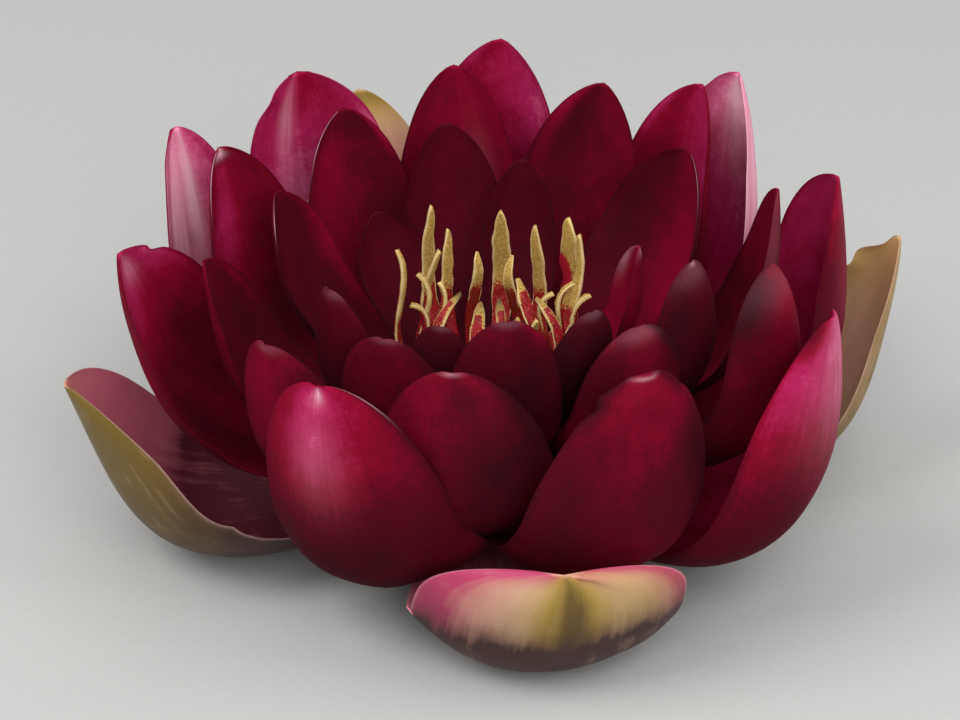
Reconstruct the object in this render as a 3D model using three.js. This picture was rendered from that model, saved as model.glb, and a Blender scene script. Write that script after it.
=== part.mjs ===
// Deep red water lily flower, cut just under the bloom: four sepals, thirty-two petals and a
// ring of stamens round the ovary, which ends below in a short stub of stalk.
// Millimetres, +Z up. The origin is the middle of the stalk's cut face, z = 0 is that face,
// and turns are counted in degrees from +X towards +Y.

import * as THREE from 'three';

// Stalk and ovary
const STALK_RADIUS = 4.6;
const NECK_HEIGHT = 3.2;
const OVARY_BOTTOM = 5;
const OVARY_TOP = 22;
const OVARY_WAIST = 7;
const OVARY_BULGE = 3.2;
const STIGMA_RADIUS = 7.4;
const STIGMA_DISH = 1.9;
const ATTACHMENT_GAP = 0.35;

// Blades: rows run from the foot (0) to the tip (1), columns from margin to margin
const PETAL_ROWS = [0, 0.12, 0.25, 0.39, 0.53, 0.67, 0.8, 0.9, 0.97, 1];
const PETAL_COLUMNS = 7;
const STAMEN_ROWS = [0, 0.3, 0.6, 0.8, 0.93, 1];
const STAMEN_COLUMNS = 5;
const TIP_THINNING = 0.45;

// How strongly a blade is cupped along its length, as a share of its full cup
const CUP_STATIONS = [0, 0.25, 0.55, 0.85, 1];
const CUP_SHARES = [0.3, 0.72, 1, 0.92, 0.75];

// Each kind of blade. foot: height at which it leaves the ovary. start: slope there.
// lead, trail: how far the midrib keeps its first and its last direction, as shares of the
// distance from foot to tip. base: width at the foot, and peak: where it is widest, both as
// shares. blunt: how full the end is. roll: turn about the midrib. thick: thickness.
const SEPAL = { foot: 5.4, start: -7, lead: 0.8, trail: 0.45, base: 0.26, peak: 0.5, blunt: 2.3,
  roll: 0, drift: 0, thick: 0.8 };
const OUTER = { foot: 8.5, start: -6, lead: 0.8, trail: 0.48, base: 0.24, peak: 0.5, blunt: 2.4,
  roll: -13, drift: 0, thick: 0.8 };
const MIDDLE = { foot: 11, start: 2, lead: 0.7, trail: 0.45, base: 0.26, peak: 0.55, blunt: 2.4,
  roll: -12, drift: 0, thick: 0.8 };
const INNER = { foot: 13.5, start: 18, lead: 0.58, trail: 0.42, base: 0.28, peak: 0.55, blunt: 2.4,
  roll: 0, drift: 0, thick: 0.8 };
const HEART = { foot: 16, start: 38, lead: 0.45, trail: 0.38, base: 0.28, peak: 0.55, blunt: 2.4,
  roll: 0, drift: 0, thick: 0.8 };
const STAMEN = { foot: 20, start: 42, lead: 0.45, trail: 0.35, base: 0.85, peak: 0.4, blunt: 3.6,
  roll: 0, drift: 0, thick: 0.9, cup: 14 };

// Sepals. turn: direction. reach, height: where the tip is. width: full width laid flat.
// cup: half angle of the hollow. end: slope at the tip. drift: sideways lean of the tip.
const SEPALS = {
  sepal_left: { turn: 196.5, reach: 64, height: 32, width: 43.5, cup: 72, end: 72, roll: 0, start: -14 },
  sepal_front: { turn: 276.3, reach: 53, height: 22.5, width: 43, cup: 50, end: 88, peak: 0.66,
    blunt: 6, lead: 0.88, trail: 0.5, roll: -4, drift: 4.2, start: -12 },
  sepal_right: { turn: 13, reach: 64, height: 38, width: 34, cup: 58, end: 80, roll: 2, start: -14 },
  sepal_back: { turn: 111, reach: 60, height: 42, width: 30, cup: 50, end: 75, start: -16 },
};

// Outer petals, anticlockwise from the right
const OUTER_PETALS = [
  { turn: 12, reach: 53, height: 50, width: 36, cup: 58, end: 98, foot: 8.2, trail: 0.52, blunt: 2.6,
    base: 0.2, peak: 0.57, roll: -5 },
  { turn: 44, reach: 55, height: 53.5, width: 36, cup: 72, end: 94, foot: 9.6, drift: 1, roll: -10 },
  { turn: 86.5, reach: 52, height: 53, width: 31.5, cup: 62, end: 80, foot: 9.4, blunt: 2.8, drift: 1.4 },
  { turn: 125, reach: 53, height: 51.5, width: 30.5, cup: 58, end: 80, foot: 7.9, blunt: 4.5 },
  { turn: 151.5, reach: 55, height: 50.5, width: 26, cup: 66, end: 80, foot: 9.8, roll: -15 },
  { turn: 188, reach: 54.2, height: 50.3, width: 34, cup: 52, end: 82, foot: 9.2, lead: 0.5,
    roll: -19, drift: 5, peak: 0.6, blunt: 2.5, base: 0.18, start: 4 },
  { turn: 246, reach: 52.2, height: 49.1, width: 38.6, cup: 69, end: 84, foot: 7.4, peak: 0.44,
    start: -5, lead: 0.77, base: 0.19, roll: 4, drift: -2.6 },
  { turn: 295.5, reach: 50.5, height: 50, width: 38, cup: 62, end: 90, foot: 10.6, peak: 0.44,
    base: 0.22, roll: 3, drift: -0.2 },
  { turn: 328.5, reach: 56, height: 50.6, width: 42.5, cup: 60, end: 93, foot: 6.8, start: -9, roll: 6,
    trail: 0.43, drift: -1, base: 0.2 },
];

// Middle petals, standing in the gaps between the outer ones
const MIDDLE_PETALS = [
  { turn: 13, reach: 44, height: 48.5, width: 22, cup: 52, end: 96, foot: 12, lead: 0.65, blunt: 2 },
  { turn: 48, reach: 49.5, height: 52.5, width: 27.5, cup: 66, end: 82, foot: 10.5, lead: 0.72 },
  { turn: 66, reach: 44, height: 51, width: 27, cup: 58, end: 82, foot: 12.6, lead: 0.62, roll: -7 },
  { turn: 97, reach: 47, height: 51, width: 24, cup: 56, end: 80, foot: 10.6, lead: 0.72, roll: -3 },
  { turn: 121.5, reach: 44, height: 48, width: 23, cup: 60, end: 82, foot: 12, lead: 0.64 },
  { turn: 153.5, reach: 46, height: 50, width: 25.5, cup: 66, end: 82, foot: 10.5, roll: -14 },
  { turn: 186, reach: 42, height: 46.3, width: 22, cup: 60, end: 82, roll: -20, drift: 3,
    blunt: 1.8, lead: 0.6, start: 10 },
  { turn: 223, reach: 43.5, height: 45.3, width: 26.5, cup: 66, end: 84, roll: 8 },
  { turn: 266, reach: 42, height: 48, width: 31, cup: 62, end: 92, foot: 11.5, lead: 0.72, roll: 0,
    drift: -2.5 },
  { turn: 334, reach: 44.5, height: 52.5, width: 22.5, cup: 74, end: 106, foot: 11.3, blunt: 3 },
];

// Inner petals
const INNER_PETALS = [
  { turn: 38, reach: 38.5, height: 48, width: 26, cup: 61, end: 84, foot: 13.8 },
  { turn: 81, reach: 32, height: 42, width: 14, cup: 55, end: 86, foot: 15, roll: 6 },
  { turn: 101, reach: 37, height: 46, width: 19, cup: 50, end: 84, foot: 13.6, roll: 6 },
  { turn: 152, reach: 37, height: 44, width: 19, cup: 62, end: 84 },
  { turn: 210, reach: 27.5, height: 45, width: 17, cup: 62, end: 86, foot: 14.5, roll: 10 },
  { turn: 237.5, reach: 29, height: 43, width: 21, cup: 62, end: 88, foot: 13, roll: 13 },
  { turn: 275, reach: 28, height: 48, width: 20.5, cup: 62, end: 92, foot: 14.3, roll: 2 },
  { turn: 309.5, reach: 33, height: 46, width: 20.5, cup: 62, end: 104, roll: -13, blunt: 3.2 },
  { turn: 335.5, reach: 31.8, height: 49.5, width: 18, cup: 70, end: 108, roll: -14, blunt: 3 },
];

// Heart petals, the narrow ones that stand against the stamens
const HEART_PETALS = [
  { turn: 5, reach: 22, height: 43.2, width: 14.5, cup: 62, end: 100 },
  { turn: 129, reach: 28, height: 38, width: 18, cup: 60, end: 86 },
  { turn: 250, reach: 22, height: 43, width: 14, cup: 62, end: 95 },
  { turn: 304, reach: 26, height: 46, width: 15, cup: 62, end: 95 },
];

// Stamens: flat straps, the tall ones outside and the short ones bent over the stigma
const STAMENS = [
  { turn: 33, reach: 15.8, height: 41.5, width: 2, end: 100, foot: 20.5, start: 50, lead: 0.4 },
  { turn: 45, reach: 16.6, height: 42.6, width: 4.2, end: 92, foot: 18.5, start: 25, lead: 0.5 },
  { turn: 60, reach: 13.4, height: 41.3, width: 2.4, end: 95, foot: 19.5, start: 35, lead: 0.5 },
  { turn: 62, reach: 7, height: 39.4, width: 1.9, end: 50, foot: 22, start: 85 },
  { turn: 83, reach: 12.6, height: 43.3, width: 3, end: 100, foot: 19.5, start: 40, lead: 0.5 },
  { turn: 108, reach: 6.4, height: 40, width: 1.9, end: 70, foot: 22, start: 80 },
  { turn: 121, reach: 12.3, height: 41.3, width: 2, end: 90, foot: 21.5, start: 55 },
  { turn: 122, reach: 16.7, height: 43.3, width: 2.2, end: 100, foot: 19, start: 30, lead: 0.5 },
  { turn: 143, reach: 9.5, height: 40.4, width: 1.8, end: 110, foot: 20.5, start: 60, lead: 0.5 },
  { turn: 163, reach: 14.6, height: 41.4, width: 1.4, end: 60, foot: 19.5, start: 28, lead: 0.5 },
  { turn: 178, reach: 10.8, height: 39.5, width: 1.2, end: 40, foot: 21, start: 60 },
  { turn: 194, reach: 7.8, height: 39.4, width: 2, end: 60, foot: 21.5, start: 70 },
  { turn: 216, reach: 14.4, height: 39.4, width: 1.2, end: 20, foot: 20, start: 40 },
  { turn: 226, reach: 6.2, height: 39, width: 2, end: 160, foot: 21.5, start: 70, lead: 0.7 },
  { turn: 258, reach: 6.9, height: 39, width: 2.6, end: 120, foot: 20.5, start: 50, lead: 0.5 },
  { turn: 282, reach: 5.8, height: 39, width: 2, end: 120, foot: 21, start: 60, lead: 0.5 },
  { turn: 290, reach: 11.2, height: 38.6, width: 2, end: 120, foot: 19.5, start: 35, lead: 0.5 },
  { turn: 303, reach: 12.4, height: 38, width: 2, end: 60, foot: 19.5, start: 40 },
  { turn: 315, reach: 5.6, height: 41.3, width: 2.6, end: 110, foot: 22, start: 60, lead: 0.5 },
  { turn: 318, reach: 8.8, height: 39, width: 1.9, end: 160, foot: 20.5, start: 50, lead: 0.5 },
  { turn: 334, reach: 10.3, height: 39, width: 1.9, end: 30, foot: 21.5, start: 70 },
  { turn: 340, reach: 15.6, height: 39.2, width: 1.5, end: 30, foot: 19, start: 35 },
  { turn: 350, reach: 12.6, height: 39.4, width: 1.5, end: 30, foot: 20.5, start: 60 },
];

const radians = THREE.MathUtils.degToRad;

// Radius of the ovary's wall, with the attachment gap, at a height
function attachmentRadius(height) {
  const share = THREE.MathUtils.clamp((height - OVARY_BOTTOM) / (OVARY_TOP - OVARY_BOTTOM), 0, 1);
  return OVARY_WAIST + OVARY_BULGE * Math.sin(Math.PI * (0.15 + 0.55 * share));
}

// Value at x on the line through the given stations
function between(x, stations, values) {
  let i = 1;
  while (i < stations.length - 1 && x > stations[i]) i += 1;
  const share = (x - stations[i - 1]) / (stations[i] - stations[i - 1]);
  return THREE.MathUtils.lerp(values[i - 1], values[i], share);
}

// Half width of a blade at u, from foot (0) to tip (1)
function halfWidth(blade, u) {
  if (u < blade.peak) {
    const rise = Math.sin(Math.PI / 2 * u / blade.peak) ** 1.3;
    return blade.width / 2 * (blade.base + (1 - blade.base) * rise);
  }
  const past = Math.min(1, (u - blade.peak) / (1 - blade.peak));
  return blade.width / 2 * (1 - past ** blade.blunt) ** 0.62;
}

// Midrib of a blade in its own upright plane: x is the distance from the axis, y the height
function midrib(blade) {
  const foot = new THREE.Vector2(attachmentRadius(blade.foot), blade.foot);
  const tip = new THREE.Vector2(blade.reach, blade.height);
  const span = foot.distanceTo(tip);
  const start = radians(blade.start);
  const end = radians(blade.end);
  const leadOut = new THREE.Vector2(Math.cos(start), Math.sin(start)).multiplyScalar(blade.lead * span);
  const runIn = new THREE.Vector2(Math.cos(end), Math.sin(end)).multiplyScalar(blade.trail * span);
  return new THREE.CubicBezierCurve(foot, leadOut.add(foot), tip.clone().sub(runIn), tip);
}

// Points on the middle surface of a blade, row by row: each row is an arc across the midrib,
// hollow towards the axis, turned about the midrib by the blade's roll.
function middleSurface(blade, rows, columns) {
  const curve = midrib(blade);
  const turn = radians(blade.turn);
  return rows.map((u) => {
    const centre = curve.getPointAt(u);
    const along = curve.getTangentAt(u);
    const half = halfWidth(blade, u);
    const cup = radians(blade.cup * between(u, CUP_STATIONS, CUP_SHARES));
    const roll = radians(blade.roll) * (1 - 0.5 * (1 - u) ** 3);
    const row = [];
    for (let j = 0; j < columns; j += 1) {
      const t = -1 + 2 * j / (columns - 1);
      const across = half / cup * Math.sin(cup * t);
      const lift = half / cup * (1 - Math.cos(cup * t));
      const sideways = across * Math.cos(roll) - lift * Math.sin(roll) + blade.drift * u * u;
      const inward = across * Math.sin(roll) + lift * Math.cos(roll);
      const radius = centre.x - inward * along.y;
      const height = centre.y + inward * along.x;
      row.push(new THREE.Vector3(
        radius * Math.cos(turn) - sideways * Math.sin(turn),
        radius * Math.sin(turn) + sideways * Math.cos(turn),
        height,
      ));
    }
    return row;
  });
}

// Unit normals of a grid of points, on the side that faces away from the axis
function gridNormals(grid) {
  const last = grid.length - 1;
  return grid.map((row, i) => row.map((point, j) => {
    if (i === last) return new THREE.Vector3();
    const down = grid[Math.max(i - 1, 0)][j];
    const up = grid[Math.min(i + 1, last)][j];
    const left = row[Math.max(j - 1, 0)];
    const right = row[Math.min(j + 1, row.length - 1)];
    return right.clone().sub(left).cross(up.clone().sub(down)).normalize();
  }));
}

// A closed blade: a face on each side of the middle surface, thickest along the midrib,
// meeting in sharp margins and at one tip vertex, with a flat cap at the foot.
function bladeGeometry(blade, rows, columns) {
  const grid = middleSurface(blade, rows, columns);
  const normals = gridNormals(grid);
  const last = rows.length - 1;
  const positions = [];
  const index = [];
  const outer = [];
  const inner = [];
  const addPoint = (p) => positions.push(p.x, p.y, p.z) / 3 - 1;
  const addTriangle = (a, b, c) => {
    if (a !== b && b !== c && a !== c) index.push(a, b, c);
  };
  for (let i = 0; i < last; i += 1) {
    outer.push([]);
    inner.push([]);
    for (let j = 0; j < columns; j += 1) {
      const t = -1 + 2 * j / (columns - 1);
      const half = blade.thick / 2 * Math.sqrt(1 - t * t) * (1 - TIP_THINNING * rows[i] ** 2);
      if (half === 0) {
        const margin = addPoint(grid[i][j]);
        outer[i].push(margin);
        inner[i].push(margin);
      } else {
        outer[i].push(addPoint(grid[i][j].clone().addScaledVector(normals[i][j], half)));
        inner[i].push(addPoint(grid[i][j].clone().addScaledVector(normals[i][j], -half)));
      }
    }
  }
  const tip = addPoint(grid[last][(columns - 1) / 2]);
  outer.push(new Array(columns).fill(tip));
  inner.push(new Array(columns).fill(tip));
  for (let j = 0; j < columns - 1; j += 1) {
    for (let i = 0; i < last; i += 1) {
      addTriangle(outer[i][j], outer[i][j + 1], outer[i + 1][j + 1]);
      addTriangle(outer[i][j], outer[i + 1][j + 1], outer[i + 1][j]);
      addTriangle(inner[i][j], inner[i + 1][j + 1], inner[i][j + 1]);
      addTriangle(inner[i][j], inner[i + 1][j], inner[i + 1][j + 1]);
    }
    addTriangle(outer[0][j], inner[0][j], inner[0][j + 1]);
    addTriangle(outer[0][j], inner[0][j + 1], outer[0][j + 1]);
  }
  const geometry = new THREE.BufferGeometry();
  geometry.setAttribute('position', new THREE.Float32BufferAttribute(positions, 3));
  geometry.setIndex(index);
  geometry.computeVertexNormals();
  return geometry;
}

// The ovary with its dished stigma on top and the stub of stalk below, turned in one piece
function ovaryGeometry() {
  const wallHeights = [OVARY_BOTTOM, 8, 11, 14, 18, OVARY_TOP];
  const profile = [
    new THREE.Vector2(0, 0),
    new THREE.Vector2(STALK_RADIUS, 0),
    new THREE.Vector2(STALK_RADIUS, NECK_HEIGHT),
    ...wallHeights.map((z) => new THREE.Vector2(attachmentRadius(z) - ATTACHMENT_GAP, z)),
    new THREE.Vector2(STIGMA_RADIUS, OVARY_TOP + 0.8),
    new THREE.Vector2(STIGMA_RADIUS / 2, OVARY_TOP + 0.8 - STIGMA_DISH),
    new THREE.Vector2(0, OVARY_TOP + 0.8 - STIGMA_DISH / 2),
  ];
  return new THREE.LatheGeometry(profile, 20).rotateX(Math.PI / 2);
}

const flower = new THREE.Group();

function addMesh(name, geometry, color, roughness) {
  const material = new THREE.MeshStandardMaterial({ color, roughness, metalness: 0 });
  const mesh = new THREE.Mesh(geometry, material);
  mesh.name = name;
  flower.add(mesh);
}

function addWhorl(prefix, kind, blades, rows, columns, color, roughness) {
  blades.forEach((blade, i) => {
    const name = `${prefix}_${String(i + 1).padStart(2, '0')}`;
    addMesh(name, bladeGeometry({ ...kind, ...blade }, rows, columns), color, roughness);
  });
}

addMesh('ovary_and_stalk', ovaryGeometry(), 0x6b6a2c, 0.7);
for (const [name, blade] of Object.entries(SEPALS)) {
  addMesh(name, bladeGeometry({ ...SEPAL, ...blade }, PETAL_ROWS, PETAL_COLUMNS), 0x8a7a3e, 0.6);
}
addWhorl('outer_petal', OUTER, OUTER_PETALS, PETAL_ROWS, PETAL_COLUMNS, 0xa01240, 0.5);
addWhorl('middle_petal', MIDDLE, MIDDLE_PETALS, PETAL_ROWS, PETAL_COLUMNS, 0x7a0c28, 0.5);
addWhorl('inner_petal', INNER, INNER_PETALS, PETAL_ROWS, PETAL_COLUMNS, 0x5c0a20, 0.5);
addWhorl('heart_petal', HEART, HEART_PETALS, PETAL_ROWS, PETAL_COLUMNS, 0x4a0a1a, 0.5);
addWhorl('stamen', STAMEN, STAMENS, STAMEN_ROWS, STAMEN_COLUMNS, 0xd6ae5c, 0.75);

export default flower;
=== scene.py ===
"""Deep red water lily flower: the visible pieces, their materials, the light and the camera.

The blades repeat the formula and the values of the CAD source, with many more rows and
columns, soft ridges, uneven margins and shaped tips. Each blade has two surface coordinates:
u runs from its foot (0) to its tip (1), t from one margin (-1) over the midrib (0) to the other.
Lengths are millimetres and angles degrees until a mesh is made.
"""

import math

import bpy
import numpy as np
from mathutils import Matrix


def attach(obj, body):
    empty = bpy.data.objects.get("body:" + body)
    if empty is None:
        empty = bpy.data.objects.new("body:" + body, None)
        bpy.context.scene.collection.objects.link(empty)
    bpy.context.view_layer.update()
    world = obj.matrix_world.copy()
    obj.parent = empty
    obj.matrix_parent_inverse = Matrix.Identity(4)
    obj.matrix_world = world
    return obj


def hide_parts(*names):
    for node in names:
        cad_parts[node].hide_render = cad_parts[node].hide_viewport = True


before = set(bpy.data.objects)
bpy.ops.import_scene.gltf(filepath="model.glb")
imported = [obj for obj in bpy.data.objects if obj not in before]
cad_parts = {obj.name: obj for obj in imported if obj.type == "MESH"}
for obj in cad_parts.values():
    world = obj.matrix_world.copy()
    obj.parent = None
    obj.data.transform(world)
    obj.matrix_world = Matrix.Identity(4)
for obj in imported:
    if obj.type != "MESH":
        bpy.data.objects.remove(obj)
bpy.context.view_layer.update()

MM = 0.001

# Stalk and ovary, as in the CAD source
STALK_RADIUS = 4.6
NECK_HEIGHT = 3.2
OVARY_BOTTOM = 5.0
OVARY_TOP = 22.0
OVARY_WAIST = 7.0
OVARY_BULGE = 3.2
STIGMA_RADIUS = 7.4
STIGMA_DISH = 1.9
ATTACHMENT_GAP = 0.35

# How much thinner a tip is than a foot, and the share of a blade's cup at stations along it
TIP_THINNING = 0.45
CUP_STATIONS = [0, 0.25, 0.55, 0.85, 1]
CUP_SHARES = [0.3, 0.72, 1, 0.92, 0.75]

# Fine grids
PETAL_ROWS = 76
PETAL_COLUMNS = 41
STAMEN_ROWS = 80
STAMEN_COLUMNS = 17
OVARY_SEGMENTS = 160
MIDRIB_STEPS = 400

# Seeds of the uneven lines: each blade and stamen adds its number
BLADE_SEED = 100
STAMEN_SEED = 300
OVARY_SEED = 500

INNER, OUTER = 1, -1

# Each kind of blade, as in the CAD source
KINDS = {
    "sepal": dict(foot=5.4, start=-7, lead=0.8, trail=0.45, base=0.26, peak=0.5, blunt=2.3),
    "outer_petal": dict(
        foot=8.5, start=-6, lead=0.8, trail=0.48, base=0.24, peak=0.5, blunt=2.4, roll=-13,
    ),
    "middle_petal": dict(
        foot=11, start=2, lead=0.7, trail=0.45, base=0.26, peak=0.55, blunt=2.4, roll=-12,
    ),
    "inner_petal": dict(
        foot=13.5, start=18, lead=0.58, trail=0.42, base=0.28, peak=0.55, blunt=2.4,
    ),
    "heart_petal": dict(foot=16, start=38, lead=0.45, trail=0.38, base=0.28, peak=0.55, blunt=2.4),
    "stamen": dict(
        cup=14, foot=20, start=42, lead=0.45, trail=0.35, base=0.85, peak=0.4, blunt=3.6,
        thick=0.9,
    ),
}
BLADES = {
    "sepal_left": dict(
        turn=196.5, reach=64, height=32, width=43.5, cup=72, end=72, start=-14, roll=0,
    ),
    "sepal_front": dict(
        turn=276.3, reach=53, height=22.5, width=43, cup=50, end=88, start=-12, lead=0.88,
        trail=0.5, peak=0.66, blunt=6, roll=-4, drift=4.2,
    ),
    "sepal_right": dict(turn=13, reach=64, height=38, width=34, cup=58, end=80, start=-14, roll=2),
    "sepal_back": dict(turn=111, reach=60, height=42, width=30, cup=50, end=75, start=-16),
    "outer_petal_01": dict(
        turn=12, reach=53, height=50, width=36, cup=58, end=98, foot=8.2, trail=0.52, base=0.2,
        peak=0.57, blunt=2.6, roll=-5,
    ),
    "outer_petal_02": dict(
        turn=44, reach=55, height=53.5, width=36, cup=72, end=94, foot=9.6, roll=-10, drift=1,
    ),
    "outer_petal_03": dict(
        turn=86.5, reach=52, height=53, width=31.5, cup=62, end=80, foot=9.4, blunt=2.8,
        drift=1.4,
    ),
    "outer_petal_04": dict(
        turn=125, reach=53, height=51.5, width=30.5, cup=58, end=80, foot=7.9, blunt=4.5,
    ),
    "outer_petal_05": dict(
        turn=151.5, reach=55, height=50.5, width=26, cup=66, end=80, foot=9.8, roll=-15,
    ),
    "outer_petal_06": dict(
        turn=188, reach=54.2, height=50.3, width=34, cup=52, end=82, foot=9.2, start=4, lead=0.5,
        base=0.18, peak=0.6, blunt=2.5, roll=-19, drift=5,
    ),
    "outer_petal_07": dict(
        turn=246, reach=52.2, height=49.1, width=38.6, cup=69, end=84, foot=7.4, start=-5,
        lead=0.77, base=0.19, peak=0.44, roll=4, drift=-2.6,
    ),
    "outer_petal_08": dict(
        turn=295.5, reach=50.5, height=50, width=38, cup=62, end=90, foot=10.6, base=0.22,
        peak=0.44, roll=3, drift=-0.2,
    ),
    "outer_petal_09": dict(
        turn=328.5, reach=56, height=50.6, width=42.5, cup=60, end=93, foot=6.8, start=-9,
        trail=0.43, base=0.2, roll=6, drift=-1,
    ),
    "middle_petal_01": dict(
        turn=13, reach=44, height=48.5, width=22, cup=52, end=96, foot=12, lead=0.65, blunt=2,
    ),
    "middle_petal_02": dict(
        turn=48, reach=49.5, height=52.5, width=27.5, cup=66, end=82, foot=10.5, lead=0.72,
    ),
    "middle_petal_03": dict(
        turn=66, reach=44, height=51, width=27, cup=58, end=82, foot=12.6, lead=0.62, roll=-7,
    ),
    "middle_petal_04": dict(
        turn=97, reach=47, height=51, width=24, cup=56, end=80, foot=10.6, lead=0.72, roll=-3,
    ),
    "middle_petal_05": dict(
        turn=121.5, reach=44, height=48, width=23, cup=60, end=82, foot=12, lead=0.64,
    ),
    "middle_petal_06": dict(
        turn=153.5, reach=46, height=50, width=25.5, cup=66, end=82, foot=10.5, roll=-14,
    ),
    "middle_petal_07": dict(
        turn=186, reach=42, height=46.3, width=22, cup=60, end=82, start=10, lead=0.6, blunt=1.8,
        roll=-20, drift=3,
    ),
    "middle_petal_08": dict(turn=223, reach=43.5, height=45.3, width=26.5, cup=66, end=84, roll=8),
    "middle_petal_09": dict(
        turn=266, reach=42, height=48, width=31, cup=62, end=92, foot=11.5, lead=0.72, roll=0,
        drift=-2.5,
    ),
    "middle_petal_10": dict(
        turn=334, reach=44.5, height=52.5, width=22.5, cup=74, end=106, foot=11.3, blunt=3,
    ),
    "inner_petal_01": dict(turn=38, reach=38.5, height=48, width=26, cup=61, end=84, foot=13.8),
    "inner_petal_02": dict(
        turn=81, reach=32, height=42, width=14, cup=55, end=86, foot=15, roll=6,
    ),
    "inner_petal_03": dict(
        turn=101, reach=37, height=46, width=19, cup=50, end=84, foot=13.6, roll=6,
    ),
    "inner_petal_04": dict(turn=152, reach=37, height=44, width=19, cup=62, end=84),
    "inner_petal_05": dict(
        turn=210, reach=27.5, height=45, width=17, cup=62, end=86, foot=14.5, roll=10,
    ),
    "inner_petal_06": dict(
        turn=237.5, reach=29, height=43, width=21, cup=62, end=88, foot=13, roll=13,
    ),
    "inner_petal_07": dict(
        turn=275, reach=28, height=48, width=20.5, cup=62, end=92, foot=14.3, roll=2,
    ),
    "inner_petal_08": dict(
        turn=309.5, reach=33, height=46, width=20.5, cup=62, end=104, blunt=3.2, roll=-13,
    ),
    "inner_petal_09": dict(
        turn=335.5, reach=31.8, height=49.5, width=18, cup=70, end=108, blunt=3, roll=-14,
    ),
    "heart_petal_01": dict(turn=5, reach=22, height=43.2, width=14.5, cup=62, end=100),
    "heart_petal_02": dict(turn=129, reach=28, height=38, width=18, cup=60, end=86),
    "heart_petal_03": dict(turn=250, reach=22, height=43, width=14, cup=62, end=95),
    "heart_petal_04": dict(turn=304, reach=26, height=46, width=15, cup=62, end=95),
}

# Stamens: turn, reach, height, width, end, foot, start, lead
STAMENS = [
    (33, 15.8, 41.5, 2, 100, 20.5, 50, 0.4),
    (45, 16.6, 42.6, 4.2, 92, 18.5, 25, 0.5),
    (60, 13.4, 41.3, 2.4, 95, 19.5, 35, 0.5),
    (62, 7, 39.4, 1.9, 50, 22, 85, 0.45),
    (83, 12.6, 43.3, 3, 100, 19.5, 40, 0.5),
    (108, 6.4, 40, 1.9, 70, 22, 80, 0.45),
    (121, 12.3, 41.3, 2, 90, 21.5, 55, 0.45),
    (122, 16.7, 43.3, 2.2, 100, 19, 30, 0.5),
    (143, 9.5, 40.4, 1.8, 110, 20.5, 60, 0.5),
    (163, 14.6, 41.4, 1.4, 60, 19.5, 28, 0.5),
    (178, 10.8, 39.5, 1.2, 40, 21, 60, 0.45),
    (194, 7.8, 39.4, 2, 60, 21.5, 70, 0.45),
    (216, 14.4, 39.4, 1.2, 20, 20, 40, 0.45),
    (226, 6.2, 39, 2, 160, 21.5, 70, 0.7),
    (258, 6.9, 39, 2.6, 120, 20.5, 50, 0.5),
    (282, 5.8, 39, 2, 120, 21, 60, 0.5),
    (290, 11.2, 38.6, 2, 120, 19.5, 35, 0.5),
    (303, 12.4, 38, 2, 60, 19.5, 40, 0.45),
    (315, 5.6, 41.3, 2.6, 110, 22, 60, 0.5),
    (318, 8.8, 39, 1.9, 160, 20.5, 50, 0.5),
    (334, 10.3, 39, 1.9, 30, 21.5, 70, 0.45),
    (340, 15.6, 39.2, 1.5, 30, 19, 35, 0.45),
    (350, 12.6, 39.4, 1.5, 30, 20.5, 60, 0.45),
]

# What every blade has unless its row says otherwise. ridge, ripple and dent are the depths of
# uneven lengthwise ridges, of a wavy margin and of shallow hollows, in mm. knobs and lumps are
# the share by which thickness and width vary.
ALWAYS = dict(
    roll=0, drift=0, thick=0.8, ridge=0.3, ripple=0.55, dent=0.45, hook=0, knobs=0, lumps=0,
)
STAMEN_RELIEF = dict(ridge=0.12, ripple=0.25, dent=0.3, knobs=0.5, lumps=0.2)

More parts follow.
